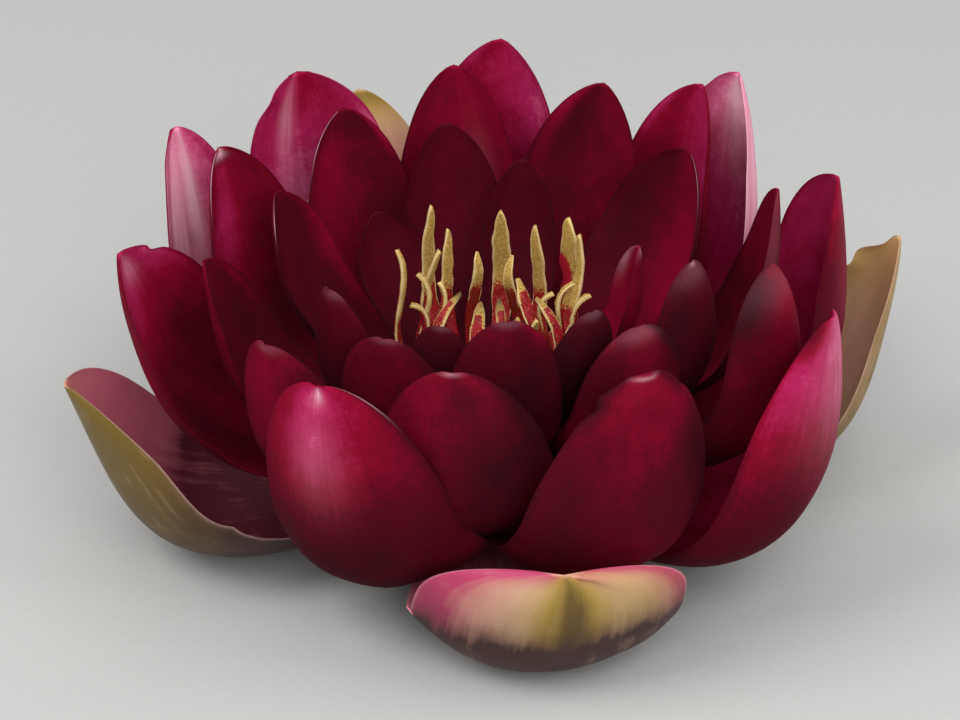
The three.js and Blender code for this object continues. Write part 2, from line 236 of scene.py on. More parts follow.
# What the CAD solids leave out, piece by piece. A reach is along u, a spread along t.
# edges: (u, side, reach, amount) lets a margin out or takes it in, amount in mm.
# folds: (t, spread, u, reach, depth) is a lengthwise ridge or groove, depth in mm.
# hook: how far the tip bends towards the axis, in mm.
# tone: lightness of a petal's inner and outer face, from 0 (near black) to 1 (pale pink); the low
# tones of the petals deep in the flower are partly their own dark red and partly painted shade.
# marks, pale, bloom: (face, u, t, reach, spread, amount), soft patches. marks are painted
# highlights and painted shade that lighten or darken a petal; pale streaks it with white-pink,
# partly its own pale colour and partly painted highlight; bloom lays a greyish painted sheen on
# it.
# rim: (u, side, reach, amount) is a pale line along a petal's margin.
# olive, pink, yellow, brown: patches of a sepal's paints over its tan, given like marks; brown is
# mostly painted shade at a sepal's foot and in its creases, partly the sepal's own dark colour.
LOOKS = {
    "outer_petal_01": dict(
        tone=(0.64, 0.42),
        marks=[
            (OUTER, 0.82, -0.9, 0.12, 0.25, -0.16), (OUTER, 0.75, -0.2, 0.15, 0.3, 0.18),
            (OUTER, 0.97, -0.6, 0.03, 0.5, 0.1), (INNER, 0.3, 0.3, 0.15, 1, -0.12),
        ],
        bloom=[(OUTER, 0.85, -0.4, 0.3, 0.3, 0.2)],
    ),
    "outer_petal_02": dict(
        tone=(0.76, 0.84),
        edges=[(0.96, 1, 0.02, -0.7), (0.975, -1, 0.02, -0.5)],
        marks=[
            (INNER, 0.8, -0.3, 0.25, 0.35, 0.14), (INNER, 0.3, 0, 0.35, 2, -0.26),
            (INNER, 0.95, 0.2, 0.06, 0.8, 0.14),
        ],
        pale=[(INNER, 0.93, 0, 0.12, 0.3, 0.6), (OUTER, 0.85, -0.7, 0.25, 0.5, 0.7)],
        rim=[(0.85, -1, 0.15, 0.8)],
    ),
    "outer_petal_03": dict(
        tone=(0.56, 0.50),
        marks=[
            (INNER, 0.85, -0.7, 0.2, 0.4, 0.2), (INNER, 0.8, 0.7, 0.4, 0.5, -0.06),
            (INNER, 0.99, 0, 0.03, 1, -0.08), (INNER, 0.97, 0.85, 0.03, 0.2, 0.2),
        ],
        rim=[(0.97, -1, 0.03, 0.5)],
    ),
    "outer_petal_04": dict(
        tone=(0.66, 0.50),
        edges=[(0.955, 1, 0.018, -1.1)],
        folds=[(0.1, 0.2, 0.9, 0.15, 0.4)],
        marks=[
            (INNER, 0.96, -0.2, 0.06, 0.5, -0.18), (INNER, 0.72, 0.15, 0.12, 0.4, 0.24),
            (INNER, 0.86, -0.95, 0.06, 0.15, 0.25),
        ],
        pale=[(INNER, 0.90, 0.29, 0.07, 0.1, 0.3)],
        rim=[(0.96, 1, 0.04, 1.0), (0.98, -1, 0.03, 0.6)],
    ),
    "outer_petal_05": dict(
        tone=(0.84, 0.55),
        edges=[(0.96, 1, 0.04, 0.9), (0.9, -1, 0.08, -0.8)],
        folds=[(0.45, 0.15, 0.85, 0.3, -0.5), (-0.05, 0.08, 0.85, 0.25, 0.4)],
        marks=[
            (INNER, 0.5, 0.1, 0.12, 0.8, -0.12), (INNER, 0.8, -0.8, 0.3, 0.3, -0.12),
            (INNER, 0.75, 0.05, 0.015, 0.05, -0.4), (INNER, 0.82, 0.85, 0.15, 0.2, 0.12),
        ],
        pale=[(INNER, 0.80, 0.3, 0.18, 0.22, 0.65), (INNER, 0.86, -0.05, 0.16, 0.14, 0.8)],
    ),
    "outer_petal_06": dict(
        tone=(0.58, 0.40),
        edges=[(0.95, -1, 0.012, -1.2), (0.97, 1, 0.02, -0.4)],
        marks=[
            (INNER, 0.85, 0.75, 0.4, 0.45, 0.2), (INNER, 0.9, -0.05, 0.16, 0.22, 0.12),
            (INNER, 0.95, -0.8, 0.06, 0.4, 0.18), (INNER, 0.68, -0.5, 0.2, 0.45, -0.28),
            (INNER, 0.56, 0.4, 0.2, 0.5, -0.36), (OUTER, 0.74, 0.6, 0.08, 0.2, 0.2),
        ],
        pale=[(INNER, 0.93, 0.8, 0.06, 0.2, 0.3), (INNER, 0.95, -0.15, 0.04, 0.2, 0.25)],
    ),
    "outer_petal_07": dict(
        tone=(0.35, 0.44),
        hook=1.2,
        folds=[(0.0, 0.10, 0.98, 0.03, 0.4), (0.35, 0.12, 0.6, 0.35, 0.4)],
        marks=[
            (OUTER, 0.45, -0.1, 0.22, 1, -0.2), (OUTER, 0.86, -0.12, 0.16, 0.5, 0.30),
            (OUTER, 0.98, 0, 0.04, 1, 0.12), (OUTER, 0.93, 1, 0.12, 0.12, -0.2),
            (OUTER, 0.68, 0.4, 0.14, 1.0, -0.16), (OUTER, 0.48, 0.75, 0.12, 0.4, 0.12),
        ],
        pale=[(OUTER, 0.985, 0.0, 0.02, 0.12, 0.8), (OUTER, 0.84, -0.1, 0.10, 0.25, 0.08)],
        rim=[(0.96, 1, 0.04, 0.3)],
    ),
    "outer_petal_08": dict(
        tone=(0.35, 0.39),
        hook=2.2,
        edges=[(0.93, -1, 0.015, -0.9), (0.955, -1, 0.012, 0.5), (0.94, 1, 0.012, -0.4)],
        folds=[(-0.1, 0.5, 0.95, 0.03, -0.9), (0.35, 0.18, 0.7, 0.3, -0.4)],
        marks=[
            (OUTER, 0.74, 0.12, 0.1, 0.3, -0.14), (OUTER, 0.80, 0.65, 0.12, 0.4, -0.28),
            (OUTER, 0.7, -0.7, 0.2, 0.3, -0.16), (OUTER, 0.92, 0.6, 0.06, 0.3, 0.12),
            (OUTER, 0.95, -1, 0.06, 0.2, -0.3), (OUTER, 0.97, 0.9, 0.04, 0.3, -0.2),
            (OUTER, 0.47, -0.1, 0.10, 0.6, 0.36), (OUTER, 0.85, 0.1, 0.1, 0.2, 0.08),
        ],
        pale=[(OUTER, 0.990, -0.1, 0.003, 0.6, 0.3)],
    ),
    "outer_petal_09": dict(
        tone=(0.66, 0.57),
        hook=0.4,
        marks=[
            (OUTER, 0.9, -0.1, 0.22, 1.2, 0.22), (OUTER, 0.15, 0, 0.35, 2, -0.30),
            (OUTER, 0.5, -0.6, 0.3, 0.5, -0.1), (OUTER, 0.72, -0.5, 0.15, 0.8, -0.22),
            (OUTER, 0.98, -0.85, 0.03, 0.4, -0.4), (OUTER, 0.97, 0.5, 0.04, 0.3, 0.08),
        ],
        pale=[(OUTER, 0.88, 0.2, 0.14, 0.5, 0.22), (OUTER, 0.6, 0.4, 0.2, 0.25, 0.08)],
    ),
    "middle_petal_01": dict(
        tone=(0.42, 0.36),
        marks=[(OUTER, 0.9, 0, 0.2, 1, 0.08), (INNER, 0.6, 0.7, 0.2, 0.6, -0.1)],
        bloom=[(OUTER, 0.88, -0.3, 0.2, 1, 0.3), (INNER, 0.97, -0.5, 0.05, 0.6, 0.25)],
    ),
    "middle_petal_02": dict(
        tone=(0.57, 0.46),
        marks=[
            (INNER, 0.8, -0.4, 0.25, 0.5, 0.12), (INNER, 0.4, 0.3, 0.3, 1, -0.08),
            (INNER, 0.85, 0.6, 0.2, 0.35, -0.12), (INNER, 0.92, 0.95, 0.08, 0.15, 0.2),
        ],
    ),
    "middle_petal_03": dict(
        tone=(0.36, 0.36),
        marks=[
            (INNER, 0.86, 0.5, 0.10, 0.25, -0.18), (INNER, 0.92, 0.2, 0.12, 0.4, -0.10),
            (INNER, 0.92, -0.7, 0.1, 0.4, 0.10), (INNER, 0.95, 0.9, 0.08, 0.25, 0.25),
            (INNER, 0.65, 0.5, 0.1, 0.3, -0.12),
        ],
    ),
    "middle_petal_04": dict(
        tone=(0.45, 0.42),
        marks=[(INNER, 0.92, 0.5, 0.06, 0.6, -0.08)],
        bloom=[(INNER, 0.72, -0.35, 0.1, 0.22, 0.25)],
    ),
    "middle_petal_05": dict(
        tone=(0.35, 0.36),
        marks=[
            (INNER, 0.75, 0.45, 0.35, 0.4, 0.12), (INNER, 0.6, -0.6, 0.4, 0.5, -0.12),
            (INNER, 0.96, 0.2, 0.05, 0.8, -0.14), (INNER, 0.94, -0.92, 0.07, 0.15, 0.3),
        ],
        rim=[(0.93, 1, 0.06, 0.7)],
    ),
    "middle_petal_06": dict(
        tone=(0.50, 0.36),
        marks=[
            (INNER, 0.8, 0.1, 0.15, 0.25, 0.18), (INNER, 0.7, -0.6, 0.4, 0.5, -0.14),
            (INNER, 0.9, 0.7, 0.15, 0.25, -0.14), (INNER, 0.5, -0.3, 0.1, 0.5, -0.08),
            (INNER, 0.75, 0.6, 0.3, 0.3, 0.1), (INNER, 0.98, 0, 0.02, 0.4, -0.2),
        ],
        pale=[(INNER, 0.985, 0.2, 0.012, 0.4, 0.8)],
        rim=[(0.95, 1, 0.05, 0.8)],
    ),
    "middle_petal_07": dict(
        tone=(0.28, 0.44),
        marks=[
            (INNER, 0.8, 0.8, 0.3, 0.3, 0.10), (INNER, 0.9, -0.9, 0.1, 0.15, 0.14),
            (INNER, 0.72, -0.5, 0.12, 0.3, -0.12),
        ],
    ),
    "middle_petal_08": dict(
        tone=(0.30, 0.36),
        hook=1.0,
        marks=[(OUTER, 0.8, -0.1, 0.2, 0.4, 0.08), (OUTER, 0.7, 0.9, 0.5, 0.3, -0.1)],
        bloom=[(OUTER, 0.99, 0, 0.012, 0.8, 0.3)],
    ),
    "middle_petal_09": dict(
        tone=(0.30, 0.36),
        hook=1.4,
        marks=[
            (OUTER, 0.75, -0.2, 0.3, 0.4, 0.04), (OUTER, 0.88, 0.95, 0.12, 0.15, -0.3),
            (OUTER, 0.93, 0.15, 0.08, 0.3, -0.12), (OUTER, 0.72, 0.4, 0.12, 0.5, -0.26),
            (OUTER, 0.84, 0.8, 0.1, 0.3, -0.12), (OUTER, 0.55, 0.75, 0.12, 0.3, 0.2),
        ],
        pale=[(OUTER, 0.994, -0.1, 0.004, 0.6, 0.3)],
    ),
    "middle_petal_10": dict(
        tone=(0.26, 0.36),
        hook=1.2,
        marks=[
            (OUTER, 0.9, 0.2, 0.15, 0.5, 0.12), (OUTER, 0.93, -0.85, 0.08, 0.4, -0.4),
            (OUTER, 0.96, 0.6, 0.05, 0.4, 0.12), (OUTER, 0.58, -0.25, 0.1, 0.4, 0.3),
        ],
        bloom=[(OUTER, 0.96, 0, 0.05, 1, 0.25)],
    ),
    "inner_petal_01": dict(
        tone=(0.33, 0.30),
        marks=[
            (INNER, 0.6, -0.6, 0.3, 0.4, 0.14), (INNER, 0.85, 0.3, 0.25, 0.5, -0.06),
            (INNER, 0.75, 0.7, 0.3, 0.3, -0.18), (INNER, 0.6, -0.2, 0.35, 0.4, 0.14),
        ],
        rim=[(0.94, -1, 0.06, 0.3)],
    ),
    "inner_petal_02": dict(tone=(0.18, 0.20)),
    "inner_petal_03": dict(tone=(0.22, 0.26), marks=[(INNER, 0.7, 0.1, 0.3, 0.3, 0.05)]),
    "inner_petal_04": dict(
        tone=(0.23, 0.28),
        marks=[(INNER, 0.65, -0.95, 0.5, 0.25, 0.26)],
        rim=[(0.93, 1, 0.04, 0.6)],
    ),
    "inner_petal_05": dict(
        tone=(0.2, 0.26), hook=0.8, bloom=[(OUTER, 0.985, 0.3, 0.02, 1, 0.3)],
    ),
    "inner_petal_06": dict(
        tone=(0.2, 0.30),
        hook=1.0,
        marks=[(OUTER, 0.76, 0.0, 0.1, 0.8, 0.12), (OUTER, 0.9, 0.9, 0.1, 0.2, -0.12)],
        bloom=[(OUTER, 0.99, 0.2, 0.012, 1, 0.3)],
    ),
    "inner_petal_07": dict(
        tone=(0.2, 0.27),
        hook=0.8,
        marks=[
            (OUTER, 0.82, 0.4, 0.1, 0.3, -0.14), (OUTER, 0.68, 0, 0.12, 0.4, -0.16),
            (OUTER, 0.92, 0.9, 0.06, 0.25, 0.15), (OUTER, 0.45, 0.8, 0.12, 0.4, 0.3),
        ],
        bloom=[(OUTER, 0.99, 0, 0.014, 1, 0.35)],
    ),
    "inner_petal_08": dict(
        tone=(0.2, 0.32),
        hook=0.8,
        marks=[
            (OUTER, 0.85, -0.2, 0.1, 0.4, 0.1), (OUTER, 0.98, 0.2, 0.03, 0.5, 0.12),
            (OUTER, 0.92, 0.9, 0.1, 0.3, -0.4), (OUTER, 0.86, -0.6, 0.1, 0.4, -0.14),
            (OUTER, 0.45, -0.85, 0.2, 0.3, 0.35),
        ],
        bloom=[(OUTER, 0.98, 0, 0.03, 0.8, 0.4)],
    ),
    "inner_petal_09": dict(
        tone=(0.2, 0.26),
        hook=0.6,
        marks=[(OUTER, 0.86, -0.6, 0.12, 0.4, -0.2)],
        pale=[(OUTER, 0.995, 0, 0.01, 0.3, 0.4)],
        bloom=[(OUTER, 0.97, 0, 0.04, 0.8, 0.3)],
    ),
    "heart_petal_01": dict(
        tone=(0.52, 0.34),
        marks=[(INNER, 0.8, -0.5, 0.4, 0.5, -0.08), (OUTER, 0.65, -0.6, 0.2, 0.6, 0.24)],
        pale=[(INNER, 0.9, 0.9, 0.12, 0.15, 0.3), (OUTER, 0.985, 0, 0.02, 0.5, 0.4)],
    ),
    "heart_petal_02": dict(tone=(0.20, 0.24), marks=[(INNER, 0.6, 0.5, 0.4, 0.4, 0.04)]),
    "heart_petal_03": dict(
        tone=(0.2, 0.12), hook=0.6, bloom=[(OUTER, 0.99, 0.2, 0.015, 1, 0.3)],
    ),
    "heart_petal_04": dict(
        tone=(0.2, 0.10), hook=0.6, bloom=[(OUTER, 0.985, 0.2, 0.02, 1, 0.4)],
    ),
    "sepal_left": dict(
        folds=[(-0.45, 0.06, 0.45, 0.25, 0.8)],
        olive=[(OUTER, 0.55, 0, 2, 4, 1.3)],
        pink=[(INNER, 0.5, -0.2, 0.6, 4, 1.6)],
        yellow=[(INNER, 1.0, 0.2, 0.06, 0.8, 0.4), (OUTER, 0.8, 0.4, 0.25, 0.4, 0.3)],
        brown_and_shade=[
            (OUTER, 0.3, 0, 0.38, 4, 1.2), (INNER, 0.2, 0, 0.36, 4, 1.6),
            (INNER, 0.5, -0.6, 0.12, 0.5, 0.3), (OUTER, 0.7, 0.95, 0.12, 0.2, 0.35),
        ],
    ),
    "sepal_front": dict(
        hook=0.6,
        folds=[(0.5, 0.10, 1.0, 0.05, -1.0), (0.12, 0.12, 1.0, 0.12, -0.8)],
        olive=[(OUTER, 0.78, 0.10, 0.20, 0.14, 0.8), (OUTER, 0.92, 0.10, 0.12, 0.08, 0.7)],
        pink=[
            (OUTER, 0.6, -1.0, 0.8, 0.42, 1.4), (OUTER, 0.92, 0.95, 0.25, 0.2, 0.9),
            (OUTER, 1.0, 0.1, 0.03, 0.9, 0.9), (INNER, 0.5, 0, 1, 4, 0.9),
        ],
        yellow=[(OUTER, 0.88, 0.08, 0.18, 0.26, 1.3), (OUTER, 0.88, 0.6, 0.15, 0.3, 0.45)],
        brown_and_shade=[
            (OUTER, 0.48, 0.0, 0.32, 3, 1.6), (OUTER, 0.72, 0.7, 0.1, 0.5, 0.7),
            (OUTER, 0.72, -0.3, 0.1, 0.6, 0.3), (INNER, 0.1, 0, 0.3, 4, 0.6),
        ],
    ),
    "sepal_right": dict(
        edges=[(0.89, 1, 0.03, -2.2), (0.965, 1, 0.03, -2.6)],
        olive=[(OUTER, 0.45, 0, 0.6, 4, 1.0)],
        pink=[(INNER, 0.7, 0.3, 0.10, 0.5, 0.2), (OUTER, 0.8, -0.7, 0.3, 0.3, 0.15)],
        yellow=[
            (INNER, 0.95, 0, 0.12, 3, 0.5), (INNER, 0.85, 0.8, 0.1, 0.3, 0.3),
            (OUTER, 0.9, 0, 0.10, 3, 0.5),
        ],
        brown_and_shade=[(INNER, 0.15, 0, 0.2, 4, 0.4), (OUTER, 0.15, 0, 0.2, 4, 0.4)],
    ),
    "sepal_back": dict(
        olive=[(OUTER, 0.5, 0, 2, 4, 1.0), (INNER, 0.99, 0, 0.03, 3, 0.6)],
        pink=[(INNER, 0.4, 0, 0.35, 4, 0.5), (INNER, 0.86, -0.7, 0.05, 0.4, 0.2)],
        yellow=[(INNER, 0.98, 0, 0.06, 3, 0.9)],
        brown_and_shade=[(INNER, 0.15, 0, 0.25, 4, 0.3), (OUTER, 0.15, 0, 0.3, 4, 0.5)],
    ),
}


def attachment_radius(height):
    """Distance from the axis at which a blade leaves the ovary."""
    share = np.clip((height - OVARY_BOTTOM) / (OVARY_TOP - OVARY_BOTTOM), 0, 1)
    return OVARY_WAIST + OVARY_BULGE * np.sin(math.pi * (0.15 + 0.55 * share))


def half_width(blade, u):
    """Half the blade's width at u: a sine rise to the widest place, then a blunt tip."""
    rise = np.sin(math.pi / 2 * np.clip(u / blade["peak"], 0, 1)) ** 1.3
    past = np.clip((u - blade["peak"]) / (1 - blade["peak"]), 0, 1)
    share = np.where(
        u < blade["peak"],
        blade["base"] + (1 - blade["base"]) * rise,
        (1 - past ** blade["blunt"]) ** 0.62,
    )
    return blade["width"] / 2 * share


def midrib(blade, u):
    """Distance from the axis, height and slope of the midrib at u, and its whole length."""
    foot = np.array([attachment_radius(blade["foot"]), blade["foot"]])
    tip = np.array([blade["reach"], blade["height"]])
    span = np.linalg.norm(tip - foot)
    start, end = math.radians(blade["start"]), math.radians(blade["end"])
    one = foot + blade["lead"] * span * np.array([math.cos(start), math.sin(start)])
    two = tip - blade["trail"] * span * np.array([math.cos(end), math.sin(end)])
    s = np.linspace(0, 1, MIDRIB_STEPS)[:, None]
    r = 1 - s
    curve = r**3 * foot + 3 * r**2 * s * one + 3 * r * s**2 * two + s**3 * tip
    length = np.concatenate([[0], np.cumsum(np.linalg.norm(np.diff(curve, axis=0), axis=1))])
    rate = np.gradient(curve, axis=0)
    slope = np.unwrap(np.arctan2(rate[:, 1], rate[:, 0]))
    share = length / length[-1]
    return (
        np.interp(u, share, curve[:, 0]),
        np.interp(u, share, curve[:, 1]),
        np.interp(u, share, slope),
        length[-1],
    )


def hill(x, middle, spread):
    """A soft bump of height 1 at the middle."""
    return np.exp(-(((x - middle) / spread) ** 2))


def waves(rng, x, lowest, count):
    """A smooth uneven line through zero, from a few sines with seeded phases."""
    total = np.zeros_like(x)
    for k in range(count):
        phase, share = rng.uniform(0, 2 * math.pi), rng.uniform(0.5, 1)
        total += share * np.sin((lowest + k) * 2 * math.pi * x + phase) / (1 + 0.4 * k)
    return total / count**0.5


def unit(vectors):
    size = np.linalg.norm(vectors, axis=-1, keepdims=True)
    return vectors / np.maximum(size, 1e-9)


def middle_surface(blade, u, t, rng):
    """Points on the blade's middle surface, and its normals on the side away from the axis."""
    along_x, along_z, slope, length = midrib(blade, u[:, 0])
    half = half_width(blade, u)
    side = np.sign(t)
    extra = np.zeros_like(u * t)
    for place, which, reach, amount in blade.get("edges", []):
        extra = extra + amount * hill(u, place, reach) * (side == which)
    half = np.maximum(half + extra * np.abs(t), 0) * np.ones_like(t)
    if blade["lumps"]:
        uneven = waves(rng, u + 0.1 * side, 3, 5)
        half = half * (1 + blade["lumps"] * uneven * np.clip(2 * u, 0, 1))
    half[-1] = 0
    cup = np.radians(blade["cup"] * np.interp(u, CUP_STATIONS, CUP_SHARES))
    roll = np.radians(blade["roll"]) * (1 - 0.5 * (1 - u) ** 3)
    across = half / cup * np.sin(cup * t)
    lift = half / cup * (1 - np.cos(cup * t))
    sideways = across * np.cos(roll) - lift * np.sin(roll) + blade["drift"] * u * u
    inward = across * np.sin(roll) + lift * np.cos(roll)
    # Soft lengthwise ridges, a wavy margin, shallow hollows, the bend of the tip, and folds
    body = np.sin(math.pi * np.clip(u, 0, 1)) ** 0.7
    inward = inward + blade["ridge"] * body * waves(rng, 0.5 * t + 0.12 * u, 1, 4) * (1 - t**4)
    inward = inward + blade["ripple"] * np.abs(t) ** 3 * body * waves(rng, u + 0.3 * side, 1, 4)
    lengthwise = waves(rng, 0.9 * u + 0.25 * t, 1, 3)
    crosswise = waves(rng, 0.45 * t + 0.3, 1, 2)
    inward = inward + blade["dent"] * body * lengthwise * (0.4 + 0.6 * np.abs(t)) * crosswise
    inward = inward + blade["hook"] * np.clip((u - 0.8) / 0.2, 0, 1) ** 2
    for place, spread, at, reach, depth in blade.get("folds", []):
        inward = inward + depth * hill(t, place, spread) * hill(u, at, reach) * (u < 1)
    turn = math.radians(blade["turn"])
    slope = slope[:, None]
    radius = along_x[:, None] - inward * np.sin(slope)
    height = along_z[:, None] + inward * np.cos(slope)
    points = np.stack(
        [
            radius * math.cos(turn) - sideways * math.sin(turn),
            radius * math.sin(turn) + sideways * math.cos(turn),
            height,
        ],
        axis=-1,
    )
    normals = unit(np.cross(np.gradient(points, axis=1), np.gradient(points, axis=0)))
    normals[-1] = normals[-2]
    return points, normals, length


def rows_and_columns(rows, columns):
    """u denser towards the tip, t denser towards the margins."""
    s = np.linspace(0, 1, rows)
    u = (0.35 * s + 0.65 * np.sin(math.pi / 2 * s))[:, None]
    t = np.sin(math.pi / 2 * np.linspace(-1, 1, columns))[None, :]
    return u, t


def blade_arrays(blade, rows, columns, rng):
    """Vertices and faces of a closed blade, each vertex's (u, t, face), and its length."""
    u, t = rows_and_columns(rows, columns)
    grid, normals, length = middle_surface(blade, u, t, rng)
    thick = blade["thick"] / 2 * np.sqrt(np.clip(1 - t**2, 0, 1)) * (1 - TIP_THINNING * u**2)
    if blade["knobs"]:
        bumps = waves(rng, 2.5 * u + 0.4 * t, 2, 6) * waves(rng, 0.7 * t + 0.8 * u, 1, 3)
        swelling = 1 + 0.6 * np.clip(2 * u - 1, 0, 1)
        thick = thick * np.clip(1 + blade["knobs"] * bumps, 0.5, 1.8) * swelling
    last = rows - 1
    outside = grid + normals * thick[..., None]
    inside = grid - normals * thick[..., None]
    outer = np.arange(rows * columns).reshape(rows, columns)
    inner = outer + rows * columns
    inner[:, 0], inner[:, -1] = outer[:, 0], outer[:, -1]
    outer[last] = outer[last, columns // 2]
    inner[last] = outer[last]
    vertices = np.concatenate([outside.reshape(-1, 3), inside.reshape(-1, 3)])
    uu, tt = np.broadcast_arrays(u, t)
    face_side = np.ones((rows, columns))
    face_side[:, 0] = face_side[:, -1] = 0
    face_side[last] = 0
    coords = np.concatenate(
        [
            np.stack([uu, tt, OUTER * face_side], -1).reshape(-1, 3),
            np.stack([uu, tt, INNER * face_side], -1).reshape(-1, 3),
        ]
    )
    faces = []
    for i in range(last):
        for j in range(columns - 1):
            faces.append((outer[i, j], outer[i, j + 1], outer[i + 1, j + 1], outer[i + 1, j]))
            faces.append((inner[i, j], inner[i + 1, j], inner[i + 1, j + 1], inner[i, j + 1]))
    for j in range(columns - 1):
        faces.append((outer[0, j], inner[0, j], inner[0, j + 1], outer[0, j + 1]))
    # The margins and the tip share their points, so doubled corners and unused points go
    clean = []
    for face in faces:
        kept = [int(v) for i, v in enumerate(face) if v != face[i - 1]]
        if len(kept) > 2:
            clean.append(kept)
    used = np.zeros(len(vertices), bool)
    for face in clean:
        used[face] = True
    place = np.cumsum(used) - 1
    clean = [[int(place[v]) for v in face] for face in clean]
    return vertices[used], clean, coords[used], length


def patches(marks, u, t, face):
    """The sum of soft patches on one face or the other."""
    total = np.zeros_like(u)
    for side, at, across, reach, spread, amount in marks:
        total += amount * hill(u, at, reach) * hill(t, across, spread) * (np.sign(face) == side)
    return total


def new_piece(name, vertices, faces, attributes, material, nodes):
    """A smooth mesh that stands for CAD nodes, with its attributes on its points."""
    mesh = bpy.data.meshes.new(name)
    mesh.from_pydata((vertices * MM).tolist(), [], faces)
    for key, values in attributes.items():
        kind = "FLOAT_VECTOR" if values.shape[1] == 3 else "FLOAT_COLOR"
        layer = mesh.attributes.new(key, kind, "POINT")
        layer.data.foreach_set("vector" if kind == "FLOAT_VECTOR" else "color", values.ravel())
    mesh.polygons.foreach_set("use_smooth", [True] * len(mesh.polygons))
    mesh.materials.append(material)
    mesh.validate()
    piece = bpy.data.objects.new(name, mesh)
    bpy.context.scene.collection.objects.link(piece)
    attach(piece, "root")
    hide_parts(*nodes)


class Graph:
    """Short calls for building a material's nodes."""

    def __init__(self, name):
        self.material = bpy.data.materials.new(name)
        self.material.use_nodes = True
        self.tree = self.material.node_tree
        self.shader = self.tree.nodes["Principled BSDF"]

    def add(self, kind, inputs=None, **settings):
        made = self.tree.nodes.new(kind)
        for key, value in settings.items():
            setattr(made, key, value)
        for key, value in (inputs or {}).items():
            self.put(made.inputs[key], value)
        return made

    def put(self, socket, value):
        if isinstance(value, bpy.types.NodeSocket):
            self.tree.links.new(value, socket)
        else:
            socket.default_value = value

    def math(self, operation, a, b=0.0, clamp=False):
        made = self.add("ShaderNodeMath", {0: a, 1: b}, operation=operation, use_clamp=clamp)
        return made.outputs[0]

    def attribute(self, name):
        return self.add("ShaderNodeAttribute", attribute_name=name)

    def separate(self, vector):
        made = self.add("ShaderNodeSeparateXYZ", {0: vector})
        return made.outputs[0], made.outputs[1], made.outputs[2]

    def times_plus(self, value, factor, offset, clamp=False):
        """value * factor + offset"""
        return self.math("ADD", self.math("MULTIPLY", value, factor), offset, clamp)

    def vary(self, value, noise, amount, clamp=False):
        """value + (noise - 0.5) * amount"""
        swing = self.math("MULTIPLY", self.math("SUBTRACT", noise, 0.5), amount)
        return self.math("ADD", value, swing, clamp)

    def noise(self, vector, scale, detail=2.0, rough=0.5):
        inputs = {"Vector": vector, "Scale": scale, "Detail": detail, "Roughness": rough}
        return self.add("ShaderNodeTexNoise", inputs).outputs[0]

    def ramp(self, value, stops):
        made = self.add("ShaderNodeValToRGB", {0: value})
        points = made.color_ramp.elements
        while len(points) < len(stops):
            points.new(0.5)
        for point, (at, colour) in zip(points, stops):
            point.position = at
            point.color = (*colour, 1) if isinstance(colour, tuple) else (colour,) * 3 + (1,)
        return made.outputs[0]

    def mix(self, share, a, b, blend="MIX"):
        made = self.add("ShaderNodeMix", data_type="RGBA", blend_type=blend)
        self.put(made.inputs["Factor"], share)
        # Sockets 6 and 7 are the two colours, and output 2 is their mix
        for socket, value in ((made.inputs[6], a), (made.inputs[7], b)):
            self.put(socket, (*value, 1) if isinstance(value, tuple) else value)
        return made.outputs[2]

    def bump(self, height, strength, distance, normal=None):
        inputs = {"Height": height, "Strength": strength, "Distance": distance}
        if normal is not None:
            inputs["Normal"] = normal
        return self.add("ShaderNodeBump", inputs).outputs[0]

    def finish(self, colour, roughness, normal, **constants):
        self.put(self.shader.inputs["Base Color"], colour)
        self.put(self.shader.inputs["Roughness"], roughness)
        self.put(self.shader.inputs["Normal"], normal)
        for key, value in constants.items():
            self.shader.inputs[key.replace("_", " ")].default_value = value
        return self.material


WINE_BLACK = (0.035, 0.0040, 0.007)
BURGUNDY = (0.085, 0.0030, 0.010)
CRIMSON = (0.230, 0.0030, 0.022)
MAGENTA = (0.420, 0.0160, 0.095)
PINK = (0.680, 0.1200, 0.260)
PALE_PINK = (0.900, 0.5200, 0.620)
SHEEN_MAUVE = (0.280, 0.1300, 0.160)
PETAL_TONES = [
    (0.0, WINE_BLACK), (0.25, BURGUNDY), (0.5, CRIMSON), (0.7, MAGENTA), (0.86, PINK),
    (1.0, PALE_PINK),
]


